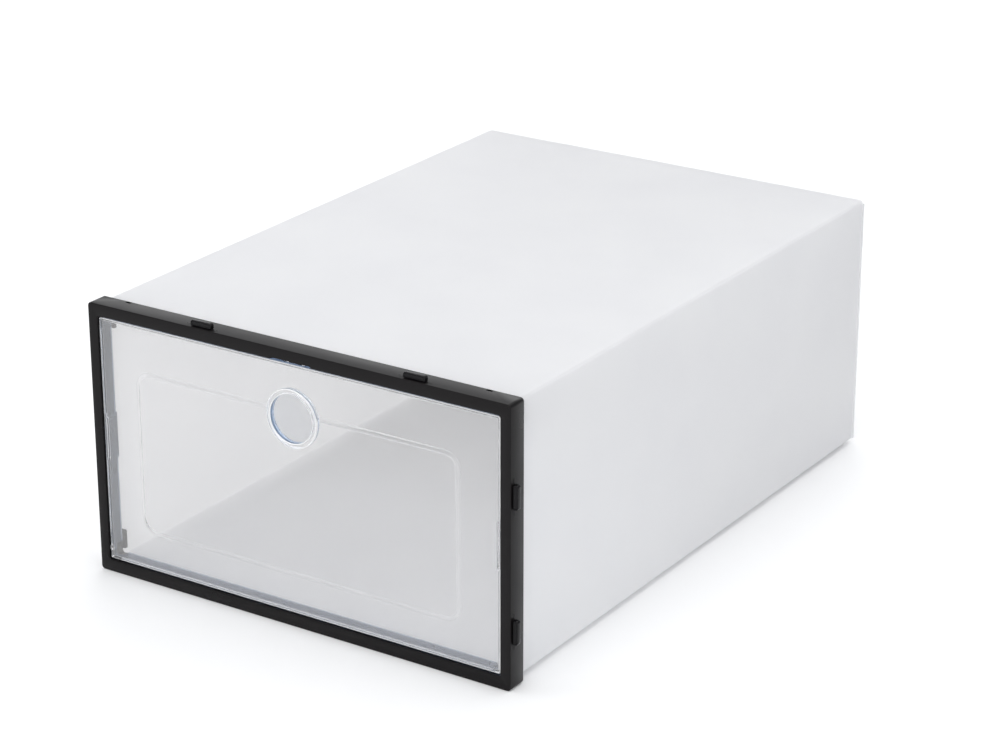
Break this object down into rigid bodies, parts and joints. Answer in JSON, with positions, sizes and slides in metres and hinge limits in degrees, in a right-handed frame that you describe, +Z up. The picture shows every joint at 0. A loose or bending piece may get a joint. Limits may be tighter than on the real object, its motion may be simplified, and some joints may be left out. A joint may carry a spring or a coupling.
{
  "type": "drop-front shoe box",
  "caption": "Stackable shoe box of folded frosted sheet with a black moulded front frame, stacking clips and a clear door that drops forward on two pins.",
  "frame": {"origin": "middle of the whole footprint, clips and finger ring included, at the height of the surface the box stands on", "axes": "+X to the right seen from the front, +Y back along the box from the door to the rear panel, +Z up"},
  "size_m": [0.2328, 0.3324, 0.1368],
  "materials": {
    "frame_plastic": "satin black moulding",
    "clip_plastic": "black moulding, a little glossier than the frame",
    "clear_plastic": "clear moulding with a faint blue-grey haze",
    "frosted_sheet": "frosted white translucent sheet"
  },
  "bodies": {
    "box": {"front_frame": "frame_plastic", "top_clip_left": "clip_plastic", "top_clip_right": "clip_plastic", "side_clip_lower": "clip_plastic", "side_clip_upper": "clip_plastic", "floor_panel": "frosted_sheet", "left_wall": "frosted_sheet", "right_wall": "frosted_sheet", "top_panel": "frosted_sheet", "top_flap": "frosted_sheet"},
    "drop_door": {"door": "clear_plastic"},
    "back": {"rear_panel": "frosted_sheet"},
    "left_flap": {"left_dust_flap": "frosted_sheet"},
    "right_flap": {"right_dust_flap": "frosted_sheet"}
  },
  "joints": [
    {"name": "door_hinge", "type": "hinge", "parent": "box", "child": "drop_door", "pos_m": [-0.0014, -0.1633, 0.0116], "axis": [1, 0, 0], "range_deg": [0, 135]},
    {"name": "rear_panel_hinge", "type": "hinge", "parent": "box", "child": "back", "pos_m": [-0.0014, 0.1662, 0.0024], "axis": [-1, 0, 0], "range_deg": [0, 90]},
    {"name": "left_dust_flap_hinge", "type": "hinge", "parent": "box", "child": "left_flap", "pos_m": [-0.113, 0.1632, 0.0665], "axis": [0, 0, -1], "range_deg": [0, 85]},
    {"name": "right_dust_flap_hinge", "type": "hinge", "parent": "box", "child": "right_flap", "pos_m": [0.1102, 0.1632, 0.0665], "axis": [0, 0, 1], "range_deg": [0, 85]}
  ]
}
